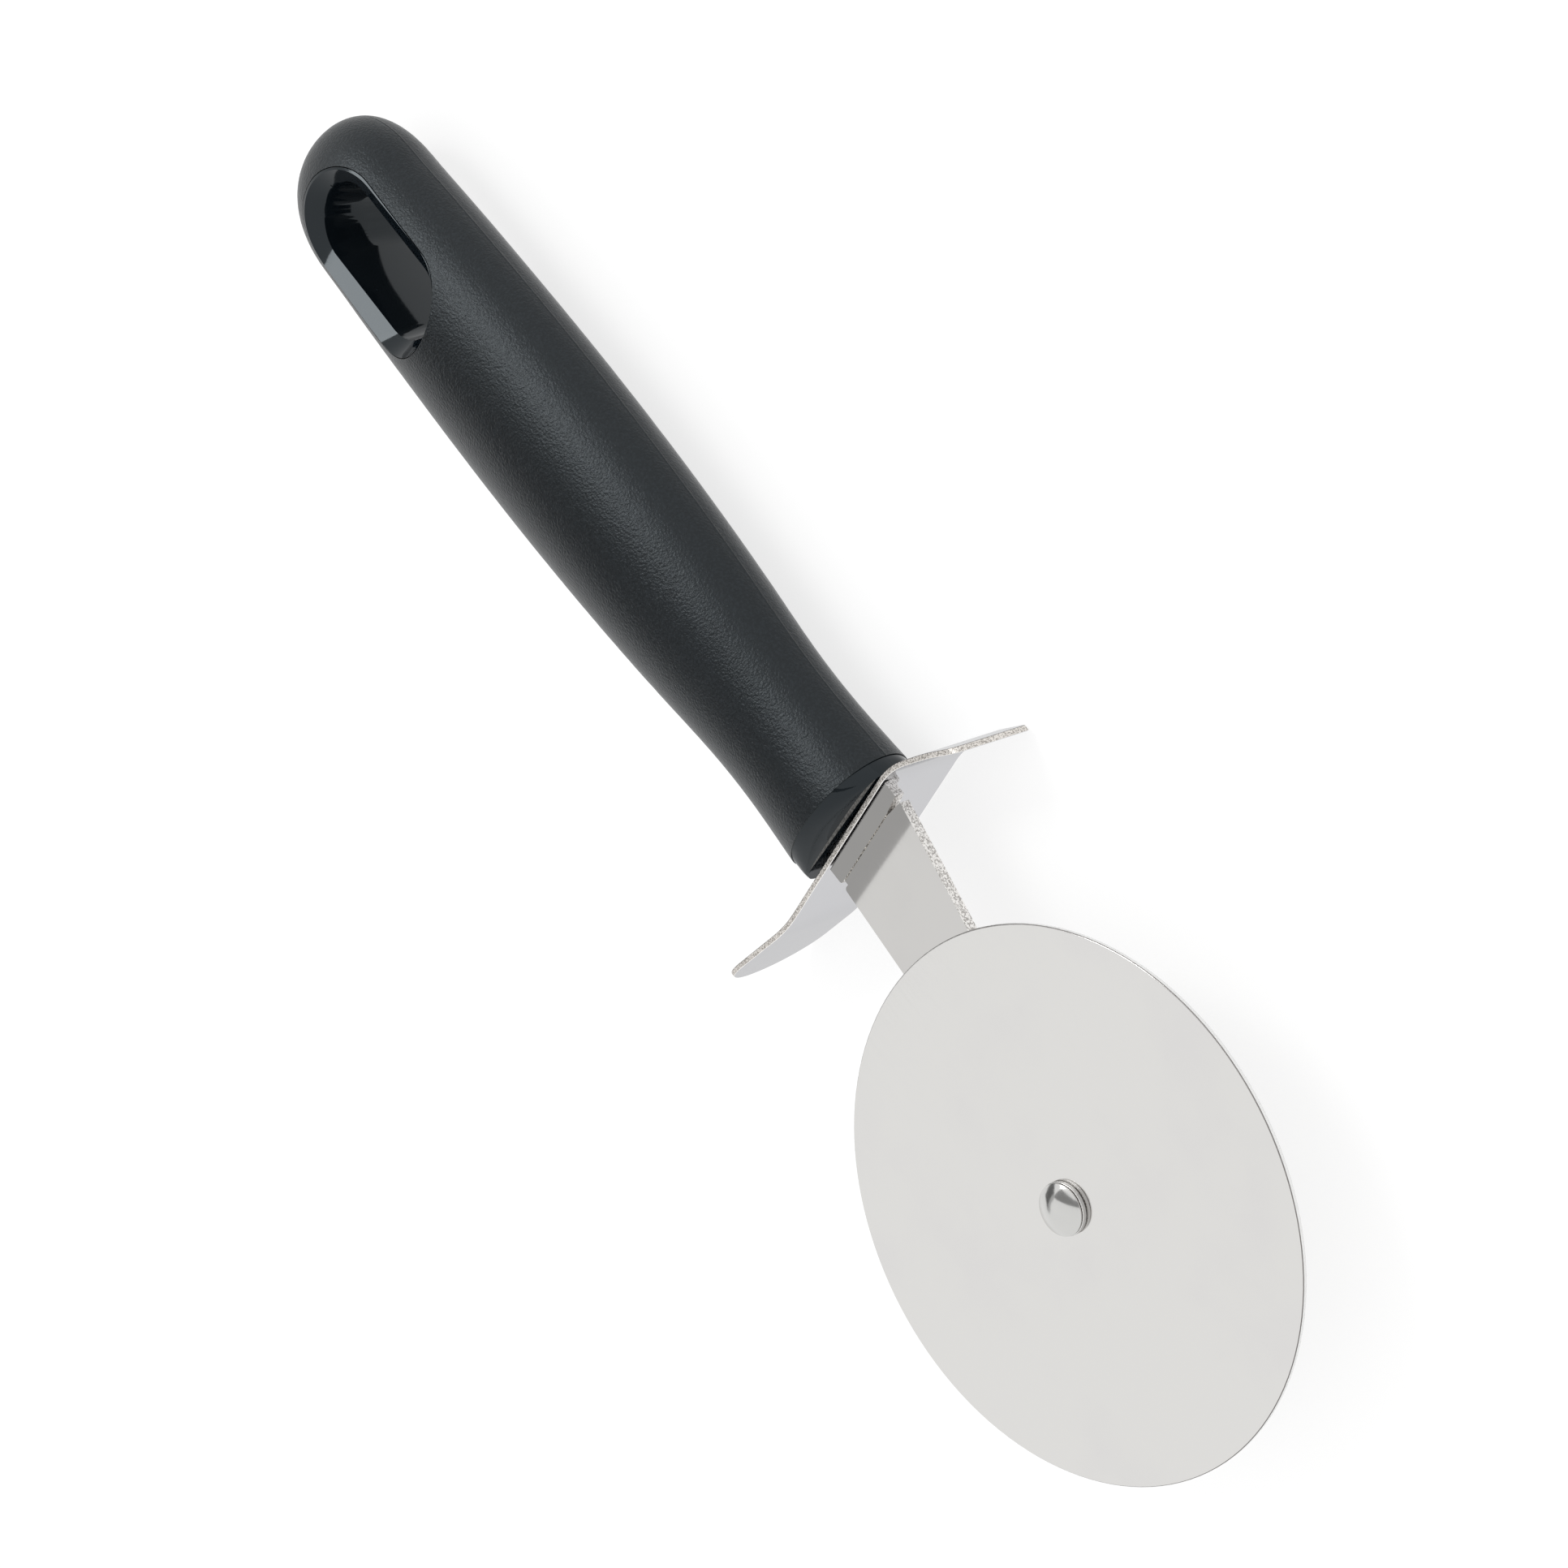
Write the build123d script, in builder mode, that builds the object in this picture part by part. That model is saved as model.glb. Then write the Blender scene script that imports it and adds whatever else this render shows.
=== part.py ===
from build123d import *
from math import copysign, cos, pi, radians, sin, tan
import os

# All sizes are in millimetres. The cutter lies on its back: its length runs along X from
# the butt of the handle to the wheel, and the axle of the wheel is upright, along Z.
# Places are measured from the handle's centre line, where it meets the guard's wheel side.

# Cutting wheel
wheel_diameter = 70.0
wheel_thickness = 0.7
wheel_edge_bevel = 0.12
wheel_reach = 52.9
wheel_offset = 8.3

# Axle of the wheel: a rivet through a washer, a flanged bush and the arm
rivet_shank_diameter = 3.0
rivet_head_diameter = 6.6
rivet_head_height = 1.25
rivet_rim_height = 0.3
rivet_head_undercut = 0.15
rivet_tail_diameter = 5.4
rivet_tail_height = 0.9
washer_diameter = 6.8
washer_thickness = 0.65
washer_edge_round = 0.12
bush_sleeve_diameter = 4.6
bush_flange_diameter = 9.0
bush_flange_thickness = 1.05
running_fit = 0.05
wheel_side_play = 0.05
rivet_hole_fit = 0.02

# Blade arm: one strip with a tang in the handle, a joggle under the guard and a tapered arm
strip_thickness = 1.6
arm_front_height = 2.8
joggle_height = 1.05
joggle_front_start = 0.08
joggle_front_run = 0.14
joggle_front_radius = 0.2
joggle_back_start = 0.35
joggle_back_run = 0.55
joggle_back_radius = 0.45
shoulder_right = 10.0
shoulder_left = 6.3
shoulder_depth = 2.85
shoulder_slant = 0.45
shoulder_gap = 0.03
slit_length = 3.5
slit_width = 1.05
notch_length = 0.8
notch_width = 0.75
score_width = 0.16
score_depth = 0.2
arm_left_start = 3.5
arm_left_shoulder = 6.35
arm_left_rim = 7.45
arm_rim_reach = 18.0
arm_right_shoulder = 9.95
arm_right_rim = 6.35
arm_eye_radius = 5.2
arm_corner_round = 0.5
tang_length = 46.0
tang_width = 13.0
tang_offset = 1.0
tang_tip_width = 9.0
tang_key_diameter = 4.0
tang_key_pitch = 16.0

# Finger guard: a bent sheet with two wings, set slightly askew across the handle
guard_thickness = 0.75
guard_seat = 0.33
guard_turn_angle = 1.4
guard_front_depth = 2.9
guard_rear_depth = 10.9
guard_right_reach = 22.2
guard_left_reach = 35.1
guard_right_bend = 12.1
guard_right_curl = 18.0
guard_left_bend = 18.8
guard_right_angle = 30.0
guard_right_curl_angle = 34.5
guard_left_angle = 14.3
guard_right_bend_radius = 10.0
guard_right_curl_radius = 20.0
guard_left_bend_radius = 22.0
guard_right_front_radius = 1.0
guard_right_rear_radius = 1.2
guard_left_round = 8.0
guard_left_tip_radius = 5.5
guard_slot_fit = 0.1

# Handle: a hard core under a thicker grained grip, with a lined hanging eye
handle_length = 126.0
handle_width = 26.3
handle_thickness = 17.8
grip_wall = 1.8
eye_from_butt = 21.85
eye_length = 24.6
eye_width = 10.0
eye_front_draft_angle = 7.0
eye_back_draft_angle = 3.0
liner_length = 30.0
liner_width = 15.9
liner_front_rim = 5.7
liner_back_rim = 7.3
liner_side_bevel_angle = 62.0
liner_end_bevel_angle = 33.0
liner_back_bevel_angle = 45.0
liner_gap = 0.12

# One overrun for every cut that has to pass a face
overrun = 1.0

# A quarter of a full turn, in degrees
quarter_angle = 90.0

# Sections of the neck and of the body, as shares of the handle's length, width and thickness.
# The neck's have a fourth share for their corners: one is an oval, and a lower one is squarer.
neck_shares = [
    (0.0, 0.791, 0.517, 0.5),
    (0.004, 0.798, 0.663, 0.7),
    (0.01, 0.802, 0.8, 0.88),
    (0.0178, 0.793, 0.918, 1.0),
]
neck_point_count = 32
body_shares = [
    (0.0178, 0.803, 0.935),
    (0.055, 0.784, 0.904),
    (0.1, 0.774, 0.863),
    (0.16, 0.787, 0.860),
    (0.24, 0.853, 0.910),
    (0.34, 0.927, 0.965),
    (0.46, 0.981, 0.996),
    (0.59, 1.0, 1.0),
    (0.72, 0.978, 1.0),
    (0.82, 0.942, 1.0),
    (0.88, 0.916, 0.993),
]

# The butt is rounded off from the last section of the body; a lower fullness share is squarer
butt_fullness_share = 0.81
butt_turn_share = 0.96
butt_section_count = 8
core_section_count = 4

# Places and levels that follow from the sizes
wheel_radius = wheel_diameter / 2
neck_face = -guard_thickness
butt_face = neck_face - handle_length
eye_place = butt_face + eye_from_butt
arm_back_height = arm_front_height - strip_thickness
tang_front_height = arm_front_height - joggle_height
tang_back_height = tang_front_height - strip_thickness
bush_top = arm_front_height + bush_flange_thickness
wheel_back_height = bush_top + wheel_side_play
wheel_front_height = wheel_back_height + wheel_thickness
washer_base = wheel_front_height + wheel_side_play
head_base = washer_base + washer_thickness
side_reach = wheel_offset + wheel_radius
right_reach = max(guard_right_reach, wheel_radius - wheel_offset)
total_length = wheel_reach + wheel_radius - butt_face
guard_lean = tan(radians(guard_turn_angle))

# The model's origin is the middle of its footprint, on the surface that it lies on
hilt = Plane(
    origin=(
        total_length / 2 - wheel_reach - wheel_radius,
        (side_reach - right_reach) / 2,
        guard_rear_depth,
    )
)


def level(height):
    """Plane parallel to the wheel at a height over the handle's centre line."""
    return hilt.offset(height)


def across(place):
    """Plane square to the handle, drawn with Y to the right and Z up."""
    return Plane(origin=hilt.from_local_coords(Vector(place, 0, 0)), x_dir=(0, 1, 0), z_dir=(1, 0, 0))


def along(offset_y):
    """Plane along the handle seen from its left side, drawn with X to the right and Z up."""
    return Plane(origin=hilt.from_local_coords(Vector(0, offset_y, 0)), x_dir=(1, 0, 0), z_dir=(0, -1, 0))


def from_guard(depth, offset_y):
    """Point at a depth in front of the guard's wheel side, which runs askew."""
    return (guard_seat - guard_lean * offset_y + depth, offset_y)


def handle_section(shares, wall=0):
    """One oval section of the handle, drawn in by a wall."""
    station_share, width_share, thickness_share = shares
    half_width = handle_width * width_share / 2 - wall
    half_thickness = handle_thickness * thickness_share / 2 - wall
    with BuildSketch(across(neck_face - handle_length * station_share)) as section:
        Ellipse(half_width, half_thickness)
    return section.sketch


def neck_section(shares):
    """One section of the neck: an oval with squared corners, drawn through points."""
    station_share, width_share, thickness_share, corner_share = shares
    points = []
    for step in range(neck_point_count):
        turn = 2 * pi * step / neck_point_count
        across_share = copysign(abs(cos(turn)) ** corner_share, cos(turn))
        upward_share = copysign(abs(sin(turn)) ** corner_share, sin(turn))
        points.append(
            (
                handle_width * width_share / 2 * across_share,
                handle_thickness * thickness_share / 2 * upward_share,
            )
        )
    with BuildSketch(across(neck_face - handle_length * station_share)) as section:
        with BuildLine():
            Spline(*points, periodic=True)
        make_face()
    return section.sketch


def butt_shares():
    """Sections of the rounded butt, closer together towards its tip."""
    station_share, width_share, thickness_share = body_shares[-1]
    sections = []
    for step in range(1, butt_section_count + 1):
        turn = pi / 2 * butt_turn_share * step / butt_section_count
        reach_share = sin(turn) ** butt_fullness_share
        size_share = cos(turn) ** butt_fullness_share
        sections.append(
            (
                station_share + (1 - station_share) * reach_share,
                width_share * size_share,
                thickness_share * size_share,
            )
        )
    return sections


def axle_disc(radius, base, top):
    """Round plate about the wheel's axle, between two heights."""
    with BuildSketch(level(base)) as disc:
        with Locations((wheel_reach, -wheel_offset)):
            Circle(radius)
    extrude(disc.sketch, amount=top - base)


def axle_bore(radius, base, top):
    """Round hole about the wheel's axle, past two heights."""
    with BuildSketch(level(base - overrun)) as disc:
        with Locations((wheel_reach, -wheel_offset)):
            Circle(radius)
    extrude(disc.sketch, amount=top - base + overrun * 2, mode=Mode.SUBTRACT)


# Cutting wheel: a flat stamped disc with a small bevel round both edges
with BuildPart() as cutting_wheel:
    axle_disc(wheel_radius, wheel_back_height, wheel_front_height)
    chamfer(cutting_wheel.edges().filter_by(GeomType.CIRCLE), length=wheel_edge_bevel)
    axle_bore(bush_sleeve_diameter / 2 + running_fit, wheel_back_height, wheel_front_height)

# Flanged bush: its flange holds the wheel off the arm, and the wheel turns on its sleeve
with BuildPart() as wheel_bush:
    axle_disc(bush_flange_diameter / 2, arm_front_height, bush_top)
    axle_disc(bush_sleeve_diameter / 2, bush_top, washer_base)
    axle_bore(rivet_shank_diameter / 2 + rivet_hole_fit, arm_front_height, washer_base)

# Washer between the wheel and the rivet's head
with BuildPart() as front_washer:
    axle_disc(washer_diameter / 2, washer_base, head_base)
    fillet(front_washer.edges().filter_by(GeomType.CIRCLE), radius=washer_edge_round)
    axle_bore(rivet_shank_diameter / 2 + rivet_hole_fit, washer_base, head_base)

# Rivet: a low domed head, a plain shank, and a tail peened over behind the arm
rivet_head_radius = rivet_head_diameter / 2
rivet_tail_radius = rivet_tail_diameter / 2
shank_radius = rivet_shank_diameter / 2
rim_height = head_base + rivet_rim_height
head_top = head_base + rivet_head_height
tail_end = arm_back_height - rivet_tail_height
crown_height = rivet_head_height - rivet_rim_height
head_crown_radius = (rivet_head_radius**2 + crown_height**2) / (crown_height * 2)
tail_crown_radius = (rivet_tail_radius**2 + rivet_tail_height**2) / (rivet_tail_height * 2)
axle_side = Plane(
    origin=hilt.from_local_coords(Vector(wheel_reach, -wheel_offset, 0)), x_dir=(1, 0, 0), z_dir=(0, -1, 0)
)
with BuildPart() as axle_rivet:
    with BuildSketch(axle_side):
        with BuildLine():
            Polyline(
                (0, tail_end),
                (0, head_top),
            )
            RadiusArc((0, head_top), (rivet_head_radius, rim_height), head_crown_radius)
            Polyline(
                (rivet_head_radius, rim_height),
                (rivet_head_radius, head_base + rivet_head_undercut),
                (rivet_head_radius - rivet_head_undercut, head_base),
                (shank_radius, head_base),
                (shank_radius, arm_back_height),
                (rivet_tail_radius, arm_back_height),
            )
            RadiusArc((rivet_tail_radius, arm_back_height), (0, tail_end), tail_crown_radius)
        make_face()
    revolve(axis=Axis(axle_side.origin, (0, 0, 1)))

# Blade arm: the strip's side shape is cut to its outline, then slit, scored and drilled
arm_tip = wheel_reach + arm_eye_radius
profile_offset = shoulder_right + overrun
profile_seat, _ = from_guard(0, profile_offset)
joggle_front_end = profile_seat + joggle_front_start + joggle_front_run
joggle_back_end = profile_seat + joggle_back_start + joggle_back_run
tang_side = tang_width / 2
with BuildPart() as blade_arm:
    with BuildSketch(along(profile_offset)):
        with BuildLine():
            FilletPolyline(
                (neck_face - tang_length - overrun * 2, tang_front_height),
                (profile_seat + joggle_front_start, tang_front_height),
                (joggle_front_end, arm_front_height),
                (arm_tip + overrun, arm_front_height),
                radius=joggle_front_radius,
            )
            Line((arm_tip + overrun, arm_front_height), (arm_tip + overrun, arm_back_height))
            FilletPolyline(
                (arm_tip + overrun, arm_back_height),
                (joggle_back_end, arm_back_height),
                (profile_seat + joggle_back_start, tang_back_height),
                (neck_face - tang_length - overrun * 2, tang_back_height),
                radius=joggle_back_radius,
            )
            Line(
                (neck_face - tang_length - overrun * 2, tang_back_height),
                (neck_face - tang_length - overrun * 2, tang_front_height),
            )
        make_face()
    extrude(amount=shoulder_right + side_reach + overrun * 2, dir=(guard_lean, -1, 0))
    with BuildSketch(level(tang_back_height - overrun)):
        with BuildLine():
            Polyline(
                from_guard(shoulder_gap, tang_offset + tang_side),
                from_guard(shoulder_gap, shoulder_right),
                from_guard(shoulder_depth - shoulder_slant, shoulder_right),
                from_guard(shoulder_depth, shoulder_right - slit_length),
                from_guard(shoulder_depth - shoulder_slant + slit_width, arm_right_shoulder),
                (arm_rim_reach, arm_right_rim),
                (wheel_reach, arm_eye_radius - wheel_offset),
            )
            RadiusArc(
                (wheel_reach, arm_eye_radius - wheel_offset),
                (wheel_reach, -arm_eye_radius - wheel_offset),
                arm_eye_radius,
            )
            Polyline(
                (wheel_reach, -arm_eye_radius - wheel_offset),
                (arm_rim_reach, -arm_left_rim),
                from_guard(arm_left_start, -arm_left_shoulder),
                from_guard(shoulder_depth + notch_width, notch_length - shoulder_left),
                from_guard(shoulder_depth, notch_length - shoulder_left),
                from_guard(shoulder_depth, -shoulder_left),
                from_guard(shoulder_gap, -shoulder_left),
                from_guard(shoulder_gap, tang_offset - tang_side),
                (neck_face - tang_length / 2, tang_offset - tang_side),
                (neck_face - tang_length, tang_offset - tang_tip_width / 2),
                (neck_face - tang_length, tang_offset + tang_tip_width / 2),
                (neck_face - tang_length / 2, tang_offset + tang_side),
                from_guard(shoulder_gap, tang_offset + tang_side),
            )
        make_face()
    extrude(amount=arm_front_height - tang_back_height + overrun * 2, mode=Mode.INTERSECT)
    with BuildSketch(along(profile_offset)):
        with BuildLine():
            Polyline(
                (profile_seat + shoulder_depth - score_width / 2, arm_front_height),
                (profile_seat + shoulder_depth, arm_front_height - score_depth),
                (profile_seat + shoulder_depth + score_width / 2, arm_front_height),
                close=True,
            )
        make_face()
    extrude(
        amount=shoulder_right + shoulder_left + overrun * 2,
        dir=(guard_lean, -1, 0),
        mode=Mode.SUBTRACT,
    )
    with BuildSketch(level(tang_back_height - overrun)):
        with Locations((neck_face - tang_length / 2, tang_offset)):
            with GridLocations(tang_key_pitch, 0, 2, 1):
                Circle(tang_key_diameter / 2)
    extrude(amount=strip_thickness + overrun * 2, mode=Mode.SUBTRACT)
    axle_bore(shank_radius + rivet_hole_fit, arm_back_height, arm_front_height)
    corners = blade_arm.edges().filter_by(Axis.Z).filter_by_position(
        Axis.X, hilt.origin.X + shoulder_depth / 2, hilt.origin.X + arm_rim_reach / 2
    )
    fillet(corners.sort_by(Axis.Y)[:2], radius=arm_corner_round)

# Finger guard: a bent sheet cut to its outline, with a slot for the tang. Its left wing is long
# and leans back; its right wing is short and square, and curls forward
left_run = guard_left_reach - guard_left_bend + overrun
curl_run = guard_right_reach - guard_right_curl + overrun
left_rise = left_run * tan(radians(guard_left_angle))
right_rise = (guard_right_curl - guard_right_bend) * tan(radians(guard_right_angle))
curl_rise = right_rise + curl_run * tan(radians(guard_right_curl_angle))
left_tip_centre = guard_front_depth - guard_left_tip_radius
with BuildPart() as finger_guard:
    with BuildSketch(level(-guard_rear_depth - overrun)):
        with BuildLine():
            FilletPolyline(
                from_guard(-guard_thickness / 2 - left_rise, -guard_left_bend - left_run),
                from_guard(-guard_thickness / 2, -guard_left_bend),
                from_guard(-guard_thickness / 2, guard_right_bend),
                from_guard(right_rise - guard_thickness / 2, guard_right_curl),
                from_guard(curl_rise - guard_thickness / 2, guard_right_curl + curl_run),
                radius=(guard_left_bend_radius, guard_right_bend_radius, guard_right_curl_radius),
            )
        trace(line_width=guard_thickness)
    extrude(amount=guard_rear_depth + guard_front_depth + overrun * 2)
    with BuildSketch(across(-left_rise - guard_thickness - overrun)):
        with BuildLine():
            Line(
                (guard_left_tip_radius - guard_left_reach, guard_front_depth),
                (guard_right_reach - guard_right_front_radius, guard_front_depth),
            )
            RadiusArc(
                (guard_right_reach - guard_right_front_radius, guard_front_depth),
                (guard_right_reach, guard_front_depth - guard_right_front_radius),
                guard_right_front_radius,
            )
            Line(
                (guard_right_reach, guard_front_depth - guard_right_front_radius),
                (guard_right_reach, guard_right_rear_radius - guard_rear_depth),
            )
            RadiusArc(
                (guard_right_reach, guard_right_rear_radius - guard_rear_depth),
                (guard_right_reach - guard_right_rear_radius, -guard_rear_depth),
                guard_right_rear_radius,
            )
            Line(
                (guard_right_reach - guard_right_rear_radius, -guard_rear_depth),
                (guard_left_round - guard_left_reach, -guard_rear_depth),
            )
            EllipticalCenterArc(
                (guard_left_round - guard_left_reach, left_tip_centre),
                guard_left_round,
                guard_rear_depth + left_tip_centre,
                start_angle=quarter_angle * 2,
                arc_size=quarter_angle,
            )
            RadiusArc(
                (-guard_left_reach, left_tip_centre),
                (guard_left_tip_radius - guard_left_reach, guard_front_depth),
                guard_left_tip_radius,
            )
        make_face()
    extrude(amount=left_rise + curl_rise + (guard_thickness + overrun) * 2, mode=Mode.INTERSECT)
    with BuildSketch(across(neck_face - overrun)):
        with Locations((tang_offset, tang_front_height - strip_thickness / 2)):
            Rectangle(tang_width + guard_slot_fit * 2, strip_thickness + guard_slot_fit * 2)
    extrude(amount=guard_thickness + overrun * 2, mode=Mode.SUBTRACT)

# Outer form of the handle, before it is shared out to its pieces: neck, body and butt
with BuildPart() as neck_form:
    loft([neck_section(shares) for shares in neck_shares])
with BuildPart() as body_form:
    loft([handle_section(shares) for shares in body_shares + butt_shares()])
with BuildPart() as stem_form:
    loft([handle_section(shares, grip_wall) for shares in body_shares + butt_shares()[:core_section_count]])


def eye_slot(length, width, height=0):
    """Outline of the hanging eye, or of a cut round it, at a height."""
    with BuildSketch(level(height)) as slot:
        with Locations((eye_place, 0)):
            SlotOverall(length, width)
    return slot.sketch


# Liner of the hanging eye: its walls flare from the middle, and its front rim has a wide bevel
half_thickness = handle_thickness / 2
front_flare = liner_front_rim * tan(radians(eye_front_draft_angle)) * 2
back_flare = liner_back_rim * tan(radians(eye_back_draft_angle)) * 2
bevel_height = half_thickness + overrun - liner_front_rim
side_bevel = bevel_height * tan(radians(liner_side_bevel_angle)) * 2
end_bevel = bevel_height * tan(radians(liner_end_bevel_angle)) * 2
with BuildPart() as hanging_eye_liner:
    extrude(eye_slot(liner_length, liner_width), amount=half_thickness + overrun, both=True)
    add(body_form.part, mode=Mode.INTERSECT)
    for amount, angle in (
        (half_thickness + overrun, eye_front_draft_angle),
        (-half_thickness - overrun, eye_back_draft_angle),
    ):
        extrude(eye_slot(eye_length, eye_width), amount=amount, taper=-angle, mode=Mode.SUBTRACT)
    loft(
        [
            eye_slot(eye_length + front_flare, eye_width + front_flare, liner_front_rim),
            eye_slot(
                eye_length + front_flare + end_bevel,
                eye_width + front_flare + side_bevel,
                half_thickness + overrun,
            ),
        ],
        ruled=True,
        mode=Mode.SUBTRACT,
    )
    extrude(
        eye_slot(eye_length + back_flare, eye_width + back_flare, -liner_back_rim),
        amount=-half_thickness,
        taper=-liner_back_bevel_angle,
        mode=Mode.SUBTRACT,
    )

# Hard core: the neck in full section, and a stem inside the grip that holds the tang
with BuildPart() as handle_core:
    add(stem_form.part)
    add(neck_form.part)
    add(blade_arm.part, mode=Mode.SUBTRACT)
    extrude(
        eye_slot(liner_length + liner_gap * 2, liner_width + liner_gap * 2),
        amount=half_thickness + overrun,
        both=True,
        mode=Mode.SUBTRACT,
    )

# Grip: the grained skin over the core, open at the neck and at the hanging eye
with BuildPart() as grip_shell:
    add(body_form.part)
    add(stem_form.part, mode=Mode.SUBTRACT)
    extrude(
        eye_slot(liner_length + liner_gap * 2, liner_width + liner_gap * 2),
        amount=half_thickness + overrun,
        both=True,
        mode=Mode.SUBTRACT,
    )

os.makedirs("parts", exist_ok=True)
for name, piece in [
    ("cutting_wheel", cutting_wheel),
    ("wheel_bush", wheel_bush),
    ("front_washer", front_washer),
    ("axle_rivet", axle_rivet),
    ("blade_arm", blade_arm),
    ("finger_guard", finger_guard),
    ("hanging_eye_liner", hanging_eye_liner),
    ("handle_core", handle_core),
    ("grip_shell", grip_shell),
]:
    piece.part.label = name
    export_step(piece.part, f"parts/{name}.step")
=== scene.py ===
from math import cos, pi, radians, sin

import bmesh
import bpy
from mathutils import Matrix, Vector, noise


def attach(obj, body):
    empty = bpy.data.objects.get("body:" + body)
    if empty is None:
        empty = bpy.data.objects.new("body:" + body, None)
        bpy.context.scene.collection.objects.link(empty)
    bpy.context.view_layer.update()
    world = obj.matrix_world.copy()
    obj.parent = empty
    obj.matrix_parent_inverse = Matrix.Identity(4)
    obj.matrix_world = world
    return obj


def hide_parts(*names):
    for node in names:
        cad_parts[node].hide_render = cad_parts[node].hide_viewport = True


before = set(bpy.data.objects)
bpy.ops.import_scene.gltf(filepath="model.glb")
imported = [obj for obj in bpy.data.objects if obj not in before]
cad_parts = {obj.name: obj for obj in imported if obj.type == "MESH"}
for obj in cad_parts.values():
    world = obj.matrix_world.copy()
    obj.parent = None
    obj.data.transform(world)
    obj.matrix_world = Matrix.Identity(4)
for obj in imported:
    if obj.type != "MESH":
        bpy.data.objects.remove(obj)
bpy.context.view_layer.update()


# ---- Blade arm ----
# One strip of 1.6 mm stainless sheet, sheared to its outline and joggled under the guard.
# Its tang is moulded into the handle; the arm that shows carries the wheel's rivet.

MERGE_DISTANCE = 1e-6
FLAT_ANGLE = radians(0.5)
ARRIS_ANGLE = radians(35)
ARRIS_SEGMENTS = 2
ARM_ARRIS = 0.00014


def soft_edged(name, node, arris, body="handle_body"):
    """A piece with its node's shape, whose sheared, turned or moulded arrises are softened."""
    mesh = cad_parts[node].data.copy()
    mesh.name = name
    if "custom_normal" in mesh.attributes:
        mesh.attributes.remove(mesh.attributes["custom_normal"])
    mesh.materials.clear()
    solid = bmesh.new()
    solid.from_mesh(mesh)
    bmesh.ops.remove_doubles(solid, verts=solid.verts, dist=MERGE_DISTANCE)
    bmesh.ops.dissolve_limit(solid, angle_limit=FLAT_ANGLE, verts=solid.verts, edges=solid.edges)
    for face in solid.faces:
        face.smooth = True
    solid.to_mesh(mesh)
    solid.free()
    piece = bpy.data.objects.new(name, mesh)
    bpy.context.scene.collection.objects.link(piece)
    rounding = piece.modifiers.new("arris", "BEVEL")
    rounding.width = arris
    rounding.segments = ARRIS_SEGMENTS
    rounding.limit_method = "ANGLE"
    rounding.angle_limit = ARRIS_ANGLE
    rounding.harden_normals = True
    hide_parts(node)
    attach(piece, body)
    return piece


def node_maker(data):
    """Functions that add a node to an emptied material or world, and join two sockets."""
    data.use_nodes = True
    tree = data.node_tree
    tree.nodes.clear()

    def add(kind, **settings):
        node = tree.nodes.new(kind)
        for key, value in settings.items():
            setattr(node, key, value)
        return node

    return add, tree.links.new


def blend_colours(add, join, share, first, second):
    """The socket of a colour that goes from first to second with share."""
    mix = add("ShaderNodeMix", data_type="RGBA")
    join(share, mix.inputs["Factor"])
    for socket, colour in ((mix.inputs[6], first), (mix.inputs[7], second)):
        if isinstance(colour, tuple):
            socket.default_value = (*colour, 1)
        else:
            join(colour, socket)
    return mix.outputs[2]


def blend_values(add, join, share, first, second):
    """The socket of a value that goes from first to second with share."""
    mix = add("ShaderNodeMix", data_type="FLOAT")
    join(share, mix.inputs["Factor"])
    for socket, value in ((mix.inputs[2], first), (mix.inputs[3], second)):
        if isinstance(value, float):
            socket.default_value = value
        else:
            join(value, socket)
    return mix.outputs[0]


def stretch(add, join, value, span, to_low=0.0, to_high=1.0):
    """The socket of a value whose range span is stretched to another, and held at its ends."""
    scale = add("ShaderNodeMapRange", interpolation_type="SMOOTHSTEP")
    join(value, scale.inputs["Value"])
    ends = zip(("From Min", "From Max", "To Min", "To Max"), (*span, to_low, to_high))
    for name, number in ends:
        scale.inputs[name].default_value = number
    return scale.outputs["Result"]


def mottle(add, join, spot, seed=None, **settings):
    """The socket of an uneven pattern of lighter and darker spots."""
    spots = add("ShaderNodeTexNoise", noise_dimensions="3D" if seed is None else "4D")
    join(spot, spots.inputs["Vector"])
    if seed is not None:
        spots.inputs["W"].default_value = seed
    for name, number in settings.items():
        spots.inputs[name].default_value = number
    return spots.outputs["Fac"]


def relief(add, join, height, strength, depth):
    """The socket of a surface's normal, raised and sunk by height."""
    bump = add("ShaderNodeBump")
    bump.inputs["Strength"].default_value = strength
    bump.inputs["Distance"].default_value = depth
    join(height, bump.inputs["Height"])
    return bump.outputs["Normal"]


def finish_surface(add, join, colour, normal):
    """The shader of a finished surface, joined to the material's output."""
    surface = add("ShaderNodeBsdfPrincipled")
    join(colour, surface.inputs["Base Color"])
    join(normal, surface.inputs["Normal"])
    output = add("ShaderNodeOutputMaterial")
    join(surface.outputs["BSDF"], output.inputs["Surface"])
    return surface


# how far a normal looks along the sheet's thickness, where one finish turns into the next, and
# where the painted light and shade of the arrises begin
SHEARED_TO_FACE = (0.70, 0.80)
EDGE_TO_PAINTED_FRONT_ARRIS = (0.25, 0.5)
PAINTED_BACK_ARRIS_TO_EDGE = (-0.5, -0.25)

CLOUD_SCALE, CLOUD_SPAN = 90, (0.45, 0.75)
TEAR_SPAN, TEAR_SEED_STEP = (0.40, 0.56), 3
ROLLING_STRETCH, ROLLING_SCALE, ROLLING_SPAN = (0.02, 1.0, 1.0), 9000, (0.3, 0.7)
ROUGHNESS_SPREAD = (0.8, 1.25)
TORN_ROUGHNESS, TORN_RELIEF, TORN_DEPTH, FLAT_RELIEF = 0.4, 0.5, 0.0001, 0.5
# painted light and shade for the rounded arrises: a painted highlight on those facing the front,
# painted shade on those facing the back
PAINTED_ARRIS_LIGHT_AND_SHADE = ((0.97, 0.96, 0.93), (0.16, 0.15, 0.15))


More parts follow.
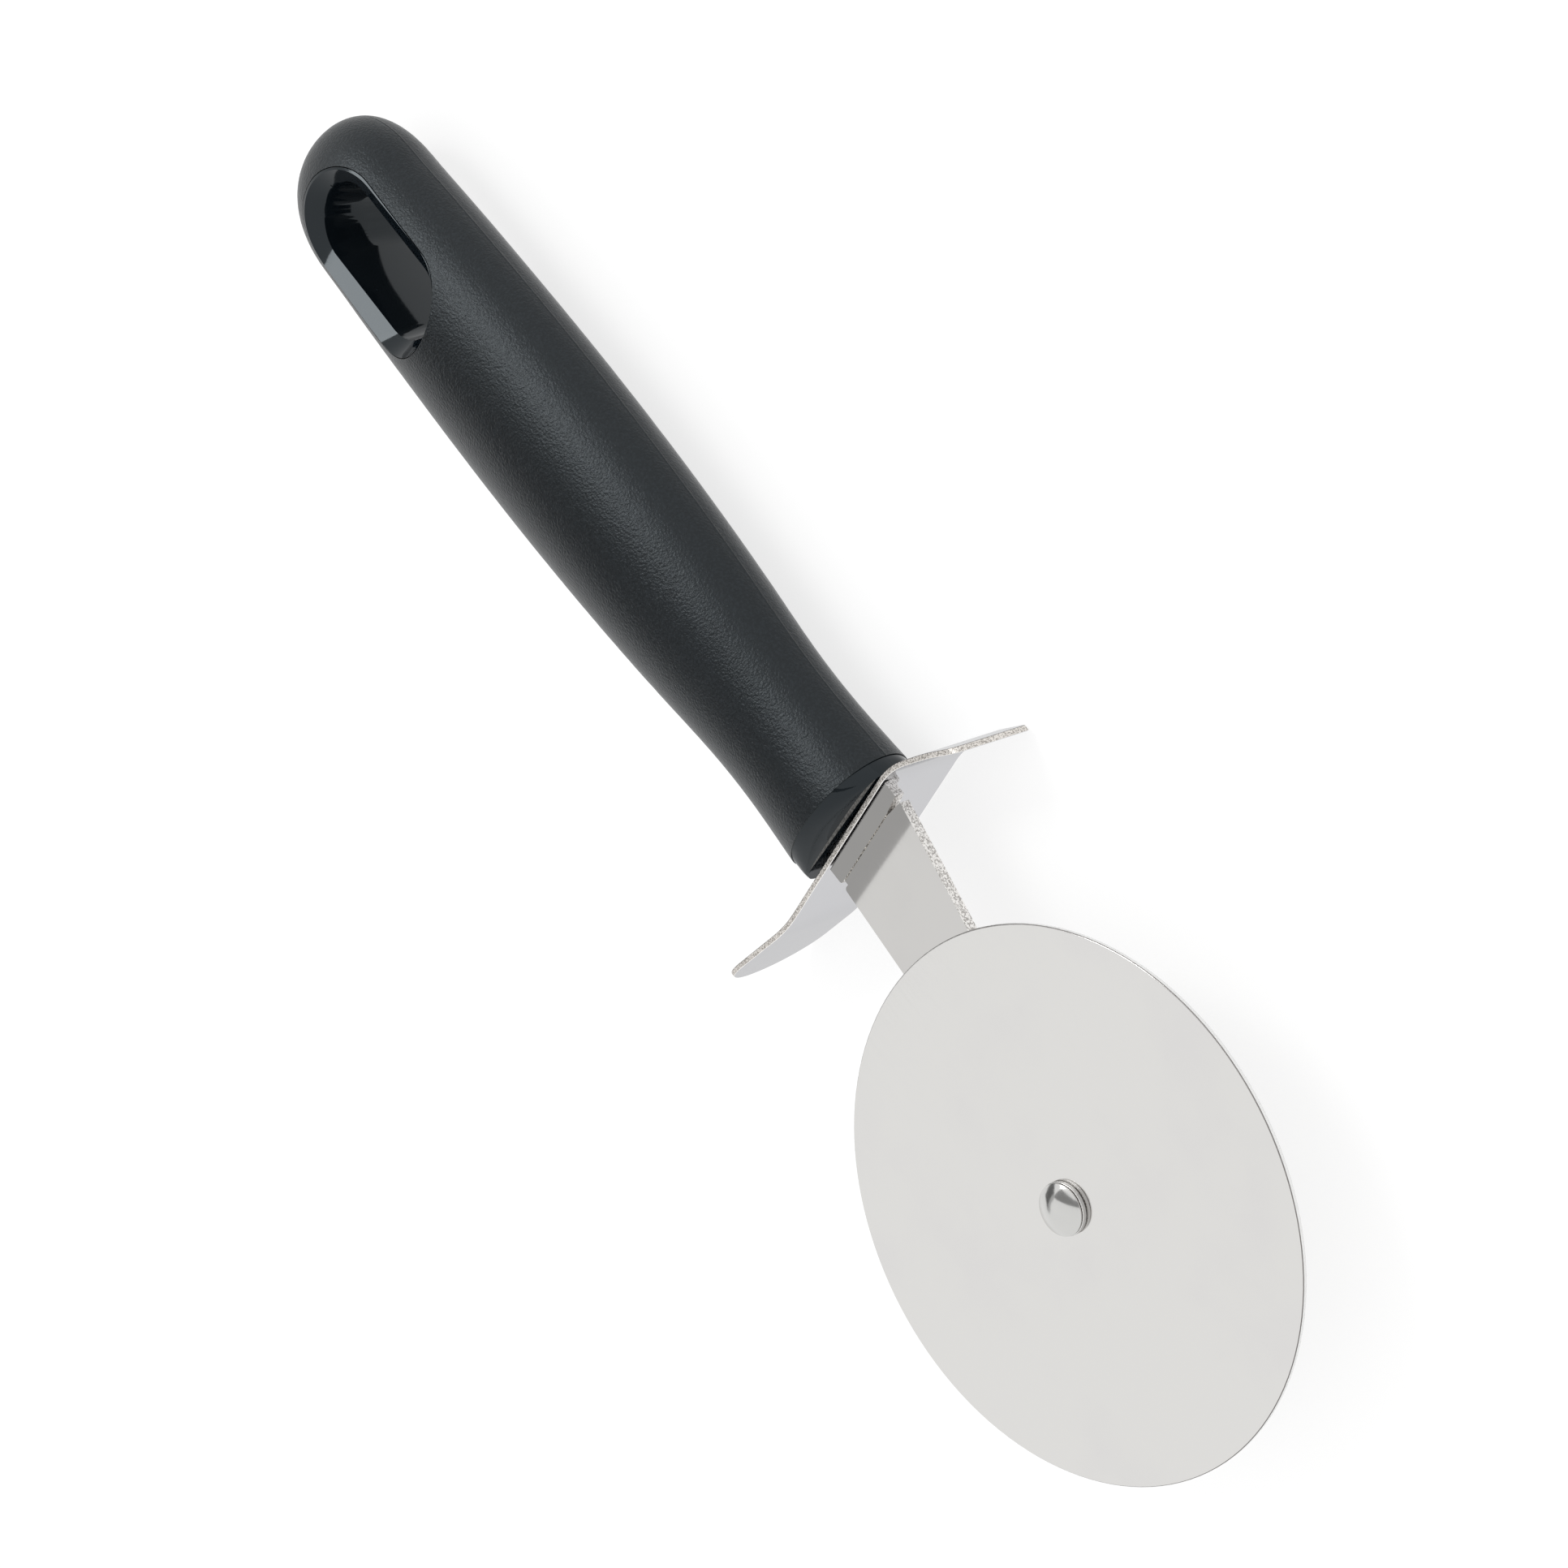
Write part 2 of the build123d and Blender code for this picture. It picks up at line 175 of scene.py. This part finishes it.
def rolled_steel(
    name, face_axis, face_colour, smudge_colour, edge_colours, roughness, grain, seed,
    tint=1.0, painted_arris_colours=PAINTED_ARRIS_LIGHT_AND_SHADE,
):
    """Rolled stainless sheet: satin faces with faint smudges, torn sheared edges, and painted light
    and shade along the arrises that face the front and the back.
    """
    steel = bpy.data.materials.new(name)
    add, join = node_maker(steel)
    place = add("ShaderNodeTexCoord")

    # the sheet's faces look along face_axis, its sheared edges across it, its arrises between
    facing = add("ShaderNodeVectorMath", operation="DOT_PRODUCT")
    join(place.outputs["Normal"], facing.inputs[0])
    facing.inputs[1].default_value = face_axis
    front = facing.outputs["Value"]
    squarely = add("ShaderNodeMath", operation="ABSOLUTE")
    join(front, squarely.inputs[0])
    on_edge = stretch(add, join, squarely.outputs[0], SHEARED_TO_FACE, 1.0, 0.0)
    # painted light and shade on the rounded arrises, chosen by which way they face: the front ones
    # take the first arris colour, the back ones the second
    painted_front_arris = stretch(add, join, front, EDGE_TO_PAINTED_FRONT_ARRIS)
    painted_back_arris = stretch(add, join, front, PAINTED_BACK_ARRIS_TO_EDGE, 1.0, 0.0)

    # faint clouds left by wiping, a few millimetres across
    clouds = mottle(add, join, place.outputs["Object"], seed, Scale=CLOUD_SCALE, Detail=3)
    cloud = stretch(add, join, clouds, CLOUD_SPAN)
    face = blend_colours(add, join, cloud, face_colour, smudge_colour)

    # torn grain of the sheared edge
    torn = mottle(
        add, join, place.outputs["Object"], seed + TEAR_SEED_STEP,
        Scale=grain, Detail=1.5, Roughness=0.6, Distortion=0.8,
    )
    edge = blend_colours(add, join, stretch(add, join, torn, TEAR_SPAN), *edge_colours)
    # the arrises' painted light and shade go over the torn edge
    edge = blend_colours(add, join, painted_front_arris, edge, painted_arris_colours[0])
    edge = blend_colours(add, join, painted_back_arris, edge, painted_arris_colours[1])

    # rolling marks: very fine lines along the sheet
    line_place = add("ShaderNodeMapping")
    line_place.inputs["Scale"].default_value = ROLLING_STRETCH
    join(place.outputs["Object"], line_place.inputs["Vector"])
    lines = mottle(add, join, line_place.outputs["Vector"], Scale=ROLLING_SCALE, Detail=2)
    smooth, rough = (roughness * share for share in ROUGHNESS_SPREAD)
    face_roughness = stretch(add, join, lines, ROLLING_SPAN, smooth, rough)

    height = blend_values(add, join, on_edge, FLAT_RELIEF, torn)
    surface = finish_surface(
        add, join, blend_colours(add, join, on_edge, face, edge),
        relief(add, join, height, TORN_RELIEF, TORN_DEPTH),
    )
    surface.inputs["Metallic"].default_value = 1.0
    surface.inputs["Specular Tint"].default_value = (tint, tint, tint, 1)
    both_roughness = blend_values(add, join, on_edge, face_roughness, TORN_ROUGHNESS)
    join(both_roughness, surface.inputs["Roughness"])
    return steel


arm_strip = soft_edged("arm_strip", "blade_arm", ARM_ARRIS)
arm_strip.data.materials.append(
    rolled_steel(
        "arm_steel", face_axis=(0, 0, 1),
        face_colour=(0.61, 0.60, 0.585), smudge_colour=(0.59, 0.58, 0.565),
        edge_colours=((0.47, 0.45, 0.43), (0.98, 0.96, 0.93)),
        roughness=0.025, grain=3400, seed=1,
    )
)


# ---- Finger guard ----
# A stamped and bent sheet of 0.75 mm stainless with two wings.
# It is trapped between the strip's shoulders and the neck of the handle.

GUARD_ARRIS = 0.00012

guard_sheet = soft_edged("guard_sheet", "finger_guard", GUARD_ARRIS)
guard_sheet.data.materials.append(
    rolled_steel(
        "guard_steel", face_axis=(1, 0, 0),
        face_colour=(0.73, 0.73, 0.75), smudge_colour=(0.71, 0.71, 0.735),
        edge_colours=((0.45, 0.42, 0.39), (0.95, 0.91, 0.86)),
        roughness=0.12, grain=4200, seed=2, tint=0.8,
    )
)


# ---- Handle core ----
# Hard glossy plastic moulded round the tang.
# Only its neck shows, between the grained grip and the guard.

PLASTIC_IOR = 1.43
PLASTIC_TINT = (0.86, 0.95, 1.0, 1)
WAVE_SCALE, WAVE_RELIEF, WAVE_DEPTH = 220, 0.15, 0.0001
DUST_SCALE, SPECK_SPAN, SPECK_LIGHT = 4000, (0.7, 0.8), 4
DULL_SPAN, DULLEST = (0.4, 0.8), 2


def gloss_plastic(name, colour, roughness):
    """Polished black moulding with faint moulding waviness and fine specks of dust."""
    plastic = bpy.data.materials.new(name)
    add, join = node_maker(plastic)
    place = add("ShaderNodeTexCoord").outputs["Object"]
    waves = mottle(add, join, place, Scale=WAVE_SCALE, Detail=1)
    dust = mottle(add, join, place, Scale=DUST_SCALE, Detail=2)
    speck = stretch(add, join, dust, SPECK_SPAN)
    surface = finish_surface(
        add, join,
        blend_colours(add, join, speck, colour, tuple(level * SPECK_LIGHT for level in colour)),
        relief(add, join, waves, WAVE_RELIEF, WAVE_DEPTH),
    )
    surface.inputs["IOR"].default_value = PLASTIC_IOR
    surface.inputs["Specular Tint"].default_value = PLASTIC_TINT
    dullness = stretch(add, join, dust, DULL_SPAN, roughness, roughness * DULLEST)
    join(dullness, surface.inputs["Roughness"])
    return plastic


polished_black = gloss_plastic("polished_black", colour=(0.004, 0.006, 0.008), roughness=0.06)
core_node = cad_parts["handle_core"]
core_node.data.materials.clear()
core_node.data.materials.append(polished_black)


# ---- Grip ----
# The grained skin over the core, in black plastic with a fine spark-eroded grain.
# It is open at the neck and round the liner of the hanging eye.

PARTING_HEIGHT, RIDGE_SPAN = 0.0109, (0.00004, 0.00022)
GRAIN_SCALE, GRAIN_RELIEF, GRAIN_DEPTH = 2900, 0.85, 0.00012
TONE_SCALE, TONE_SPAN, TONE_LIGHT = 2600, (0.4, 0.7), 2.2
GRIP_ROUGHNESS = 0.3


def grained_plastic(name, colour):
    """Black moulding with a fine, even grain of small rounded pits and peaks."""
    plastic = bpy.data.materials.new(name)
    add, join = node_maker(plastic)
    place = add("ShaderNodeTexCoord").outputs["Object"]
    pits = mottle(add, join, place, Scale=GRAIN_SCALE, Detail=2.5, Roughness=0.6)

    # the mould's halves meet in a fine ridge along both sides, at the handle's middle height
    height = add("ShaderNodeSeparateXYZ")
    join(place, height.inputs[0])
    off = add("ShaderNodeMath", operation="SUBTRACT")
    join(height.outputs["Z"], off.inputs[0])
    off.inputs[1].default_value = PARTING_HEIGHT
    away = add("ShaderNodeMath", operation="ABSOLUTE")
    join(off.outputs[0], away.inputs[0])
    ridge = stretch(add, join, away.outputs[0], RIDGE_SPAN, 1.0, 0.0)
    total = add("ShaderNodeMath", operation="ADD")
    join(pits, total.inputs[0])
    join(ridge, total.inputs[1])

    tone = stretch(add, join, mottle(add, join, place, Scale=TONE_SCALE, Detail=3), TONE_SPAN)
    surface = finish_surface(
        add, join,
        blend_colours(add, join, tone, colour, tuple(level * TONE_LIGHT for level in colour)),
        relief(add, join, total.outputs[0], GRAIN_RELIEF, GRAIN_DEPTH),
    )
    surface.inputs["IOR"].default_value = PLASTIC_IOR
    surface.inputs["Specular Tint"].default_value = PLASTIC_TINT
    surface.inputs["Roughness"].default_value = GRIP_ROUGHNESS
    return plastic


grip_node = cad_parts["grip_shell"]
grip_node.data.materials.clear()
grip_node.data.materials.append(grained_plastic("grained_black", colour=(0.004, 0.005, 0.006)))


# ---- Hanging eye liner ----
# A glossy ring set into the slot at the butt of the handle.
# Its rims are bevelled on both faces, and a fine gap shows round it.

LINER_ARRIS = 0.00022

eye_ring = soft_edged("eye_ring", "hanging_eye_liner", LINER_ARRIS)
eye_ring.data.materials.append(polished_black)


# ---- Wheel bush ----
# A small turned steel bush, clamped to the arm by the rivet.
# Its flange holds the wheel off the arm, and the wheel turns on its sleeve.

BUSH_ARRIS = 0.00005

bush_turned = soft_edged("bush_turned", "wheel_bush", BUSH_ARRIS)
turned_steel = rolled_steel(
    "turned_steel", face_axis=(0, 0, 1),
    face_colour=(0.6, 0.6, 0.59), smudge_colour=(0.55, 0.55, 0.54),
    edge_colours=((0.5, 0.49, 0.48), (0.6, 0.59, 0.58)),
    roughness=0.2, grain=12000, seed=4,
    # painted highlight on the arrises facing the front, painted shade on those facing the back
    painted_arris_colours=((0.75, 0.74, 0.72), (0.12, 0.10, 0.09)),
)
bush_turned.data.materials.append(turned_steel)


# ---- Cutting wheel ----
# A flat disc of 0.7 mm stainless, ground slightly blunt all round its edge.
# It spins freely on the bush.

WHEEL_ARRIS = 0.00004

wheel_disc = soft_edged("wheel_disc", "cutting_wheel", WHEEL_ARRIS, body="wheel")
wheel_disc.data.materials.append(
    rolled_steel(
        "wheel_steel", face_axis=(0, 0, 1),
        face_colour=(0.725, 0.717, 0.70), smudge_colour=(0.71, 0.70, 0.69),
        edge_colours=((0.92, 0.92, 0.91), (0.97, 0.97, 0.96)),
        roughness=0.12, grain=12000, seed=5,
        # painted shade on both arrises of the rim, a dark line round the wheel's edge
        painted_arris_colours=((0.20, 0.185, 0.18), (0.36, 0.35, 0.34)),
    )
)


# ---- Washer and rivet ----
# The washer is stamped, and lies between the wheel and the rivet's low domed head.
# The rivet is cold headed, and its tail is peened over behind the arm.

WASHER_ARRIS = 0.00003

washer_stamped = soft_edged("washer_stamped", "front_washer", WASHER_ARRIS)
washer_stamped.data.materials.append(turned_steel)

AXLE = (0.072325, 0.0)
HEAD_RADIUS, HEAD_HEIGHT, HEAD_RIM, HEAD_UNDERCUT = 0.0033, 0.00125, 0.0003, 0.00015
SHANK_RADIUS, TAIL_RADIUS, TAIL_HEIGHT = 0.0015, 0.0027, 0.0009
RIVET_TURNS, DOME_RINGS = 96, 20
DENT_DEPTH, DENT_SCALE, DENT_FADE = 0.000035, 900, 4


def crown(radius, height, rings):
    """Points of a shallow dome's arc, from its rim to its top, as reach and rise."""
    sphere = (radius**2 + height**2) / (2 * height)
    arc = []
    for ring in range(rings + 1):
        reach = radius * cos(pi / 2 * ring / rings)
        arc.append((reach, (sphere**2 - reach**2) ** 0.5 - sphere + height))
    return arc


rivet_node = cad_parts["axle_rivet"]
rivet_heights = [(rivet_node.matrix_world @ vertex.co).z for vertex in rivet_node.data.vertices]
tail_end, head_top = min(rivet_heights), max(rivet_heights)
head_base, arm_back = head_top - HEAD_HEIGHT, tail_end + TAIL_HEIGHT
tail_arc = crown(TAIL_RADIUS, TAIL_HEIGHT, DOME_RINGS)
profile = [(reach, arm_back - rise) for reach, rise in reversed(tail_arc)]
profile += [(SHANK_RADIUS, arm_back), (SHANK_RADIUS, head_base)]
profile += [(HEAD_RADIUS - HEAD_UNDERCUT, head_base), (HEAD_RADIUS, head_base + HEAD_UNDERCUT)]
dome_start = len(profile)
dome_arc = crown(HEAD_RADIUS, HEAD_HEIGHT - HEAD_RIM, DOME_RINGS)
profile += [(reach, head_base + HEAD_RIM + rise) for reach, rise in dome_arc]

headed = bmesh.new()
rings = []
for step, (reach, height) in enumerate(profile):
    if reach < MERGE_DISTANCE:
        rings.append([headed.verts.new((*AXLE, height))])
        continue
    ring = []
    for turn in range(RIVET_TURNS):
        angle = 2 * pi * turn / RIVET_TURNS
        spot = Vector((AXLE[0] + reach * cos(angle), AXLE[1] + reach * sin(angle), height))
        if step > dome_start:
            # hammered unevenness, which dies out at the rim
            depth = DENT_DEPTH * (1 - (reach / HEAD_RADIUS) ** DENT_FADE)
            spot.z -= depth * (1 + noise.noise(spot * DENT_SCALE)) / 2
        ring.append(headed.verts.new(spot))
    rings.append(ring)
for lower, upper in zip(rings, rings[1:]):
    for turn in range(RIVET_TURNS):
        after = (turn + 1) % RIVET_TURNS
        if len(lower) == 1:
            headed.faces.new((lower[0], upper[after], upper[turn]))
        elif len(upper) == 1:
            headed.faces.new((lower[turn], lower[after], upper[0]))
        else:
            headed.faces.new((lower[turn], lower[after], upper[after], upper[turn]))
bmesh.ops.recalc_face_normals(headed, faces=headed.faces)
for face in headed.faces:
    face.smooth = True
rivet_mesh = bpy.data.meshes.new("rivet_headed")
headed.to_mesh(rivet_mesh)
headed.free()
rivet_headed = bpy.data.objects.new("rivet_headed", rivet_mesh)
bpy.context.scene.collection.objects.link(rivet_headed)
rivet_mesh.set_sharp_from_angle(angle=ARRIS_ANGLE)
rivet_mesh.materials.append(
    rolled_steel(
        "rivet_steel", face_axis=(0, 0, 1),
        face_colour=(0.68, 0.675, 0.66), smudge_colour=(0.6, 0.6, 0.585),
        edge_colours=((0.6, 0.59, 0.58), (0.7, 0.69, 0.67)),
        roughness=0.14, grain=12000, seed=6,
        # painted highlight on the arrises facing the front, round the head's rim, and painted shade
        # on those facing the back, under the head and round the tail
        painted_arris_colours=((0.8, 0.79, 0.77), (0.10, 0.08, 0.07)),
    )
)
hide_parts("axle_rivet")
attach(rivet_headed, "handle_body")


# ---- Camera ----
# It stands where the photograph was taken from, above the side of the guard's shorter wing.
# It is rolled so that the handle runs up to the left.

CAMERA_PLACE = Vector((0.162001, 0.279672, 0.301652))
CAMERA_RIGHT = Vector((0.574912, 0.416219, -0.704441))
CAMERA_UP = Vector((-0.734514, 0.641872, -0.220205))
CAMERA_BACK = Vector((0.360508, 0.644020, 0.674739))
PHOTO_SIZE = 1932
FOCAL_PIXELS = 4181.14
SENSOR_WIDTH = 36.0
NEAREST, FARTHEST = 0.01, 20.0

camera_data = bpy.data.cameras.new("camera")
camera_data.sensor_fit = "HORIZONTAL"
camera_data.sensor_width = SENSOR_WIDTH
camera_data.lens = SENSOR_WIDTH * FOCAL_PIXELS / PHOTO_SIZE
camera_data.clip_start = NEAREST
camera_data.clip_end = FARTHEST
camera = bpy.data.objects.new("camera", camera_data)
stance = Matrix((CAMERA_RIGHT, CAMERA_UP, CAMERA_BACK)).transposed()
camera.matrix_world = Matrix.Translation(CAMERA_PLACE) @ stance.to_4x4()
bpy.context.scene.collection.objects.link(camera)
bpy.context.scene.camera = camera


# ---- Floor ----
# A plain white table top, which keeps the cutter's soft shadow.
# It glows a little, so that it fades to white, and shiny surfaces see it evenly lit.

TABLE_REACH, TABLE_DROP = 3, 0.0001
TABLE_GREY, TABLE_GLOW, TABLE_IN_REFLECTIONS = 0.3, 0.74, 0.88

floor_mesh = bpy.data.meshes.new("floor")
table_ends = ((-1, -1), (1, -1), (1, 1), (-1, 1))
table_corners = [(TABLE_REACH * x, TABLE_REACH * y, 0) for x, y in table_ends]
floor_mesh.from_pydata(table_corners, [], [(0, 1, 2, 3)])
floor = bpy.data.objects.new("floor", floor_mesh)
floor.location.z = -TABLE_DROP
bpy.context.scene.collection.objects.link(floor)

table_white = bpy.data.materials.new("table_white")
add, join = node_maker(table_white)
paint = add("ShaderNodeBsdfDiffuse")
paint.inputs["Color"].default_value = (TABLE_GREY, TABLE_GREY, TABLE_GREY, 1)
glow = add("ShaderNodeEmission")
glow.inputs["Strength"].default_value = TABLE_GLOW
lit = add("ShaderNodeAddShader")
join(paint.outputs[0], lit.inputs[0])
join(glow.outputs[0], lit.inputs[1])
even = add("ShaderNodeEmission")
even.inputs["Strength"].default_value = TABLE_IN_REFLECTIONS
path = add("ShaderNodeLightPath")
seen = add("ShaderNodeMixShader")
join(path.outputs["Is Glossy Ray"], seen.inputs[0])
join(lit.outputs[0], seen.inputs[1])
join(even.outputs[0], seen.inputs[2])
output = add("ShaderNodeOutputMaterial")
join(seen.outputs[0], output.inputs["Surface"])
floor_mesh.materials.append(table_white)


# ---- Light ----
# A white tent all round, a soft box over the butt of the handle, a grey and a black card beside it,
# and a boom overhead. The cards and the boom show only as reflections.

TENT_LEVEL = 1.0

world = bpy.data.worlds.new("tent")
bpy.context.scene.world = world
add, join = node_maker(world)
tent = add("ShaderNodeBackground")
tent.inputs["Color"].default_value = (1, 1, 1, 1)
tent.inputs["Strength"].default_value = TENT_LEVEL
output = add("ShaderNodeOutputWorld")
join(tent.outputs[0], output.inputs["Surface"])

BOX_PLACE, BOX_AIM = Vector((-0.45, 0.1935, 0.5996)), Vector((-0.08, 0.0035, 0.0096))
BOX_WIDTH, BOX_LENGTH, BOX_POWER = 0.34, 0.20, 1.35

lamp = bpy.data.lights.new("over_butt", "AREA")
lamp.shape = "RECTANGLE"
lamp.size = BOX_WIDTH
lamp.size_y = BOX_LENGTH
lamp.energy = BOX_POWER
soft_box = bpy.data.objects.new("over_butt", lamp)
soft_box.location = BOX_PLACE
soft_box.rotation_mode = "QUATERNION"
soft_box.rotation_quaternion = (BOX_PLACE - BOX_AIM).to_track_quat("Z", "Y")
soft_box.visible_camera = False
bpy.context.scene.collection.objects.link(soft_box)

# plans of the cards and the boom, as corners seen from above
CARD_HEIGHT, BOOM_HEIGHT = 0.2206, 0.517
CARD_NEAR, CARD_SEAM, CARD_FAR, CARD_BACK = -0.072, -0.12, -0.34, -0.4165
GREY_PLAN = (
    (CARD_NEAR, -0.0965), (CARD_NEAR, CARD_BACK), (CARD_SEAM, CARD_BACK), (CARD_SEAM, -0.092),
)
BLACK_PLAN = (
    (CARD_SEAM, -0.092), (CARD_SEAM, CARD_BACK), (CARD_FAR, CARD_BACK), (CARD_FAR, -0.0715),
)
BOOM_PLAN = (
    (-0.322, -0.293), (0.135, 0.020), (0.294, 0.147),
    (0.228, 0.203), (-0.027, 0.100), (-0.318, 0.003),
)
GREY_LEVEL, BLACK_LEVEL, BOOM_LEVEL = 0.5, 0.14, 0.28


def reflected_card(name, plan, height, level):
    """A flat card of one grey that only shiny surfaces show."""
    mesh = bpy.data.meshes.new(name)
    mesh.from_pydata([(*corner, height) for corner in plan], [], [tuple(range(len(plan)))])
    card = bpy.data.objects.new(name, mesh)
    bpy.context.scene.collection.objects.link(card)
    grey = bpy.data.materials.new(name + "_grey")
    add, join = node_maker(grey)
    glow = add("ShaderNodeEmission")
    glow.inputs["Strength"].default_value = level
    output = add("ShaderNodeOutputMaterial")
    join(glow.outputs[0], output.inputs["Surface"])
    mesh.materials.append(grey)
    card.visible_camera = False
    card.visible_diffuse = False
    card.visible_transmission = False
    card.visible_shadow = False


reflected_card("grey_card", GREY_PLAN, CARD_HEIGHT, GREY_LEVEL)
reflected_card("black_card", BLACK_PLAN, CARD_HEIGHT, BLACK_LEVEL)
reflected_card("overhead_boom", BOOM_PLAN, BOOM_HEIGHT, BOOM_LEVEL)

bpy.context.scene.view_settings.view_transform = "Standard"
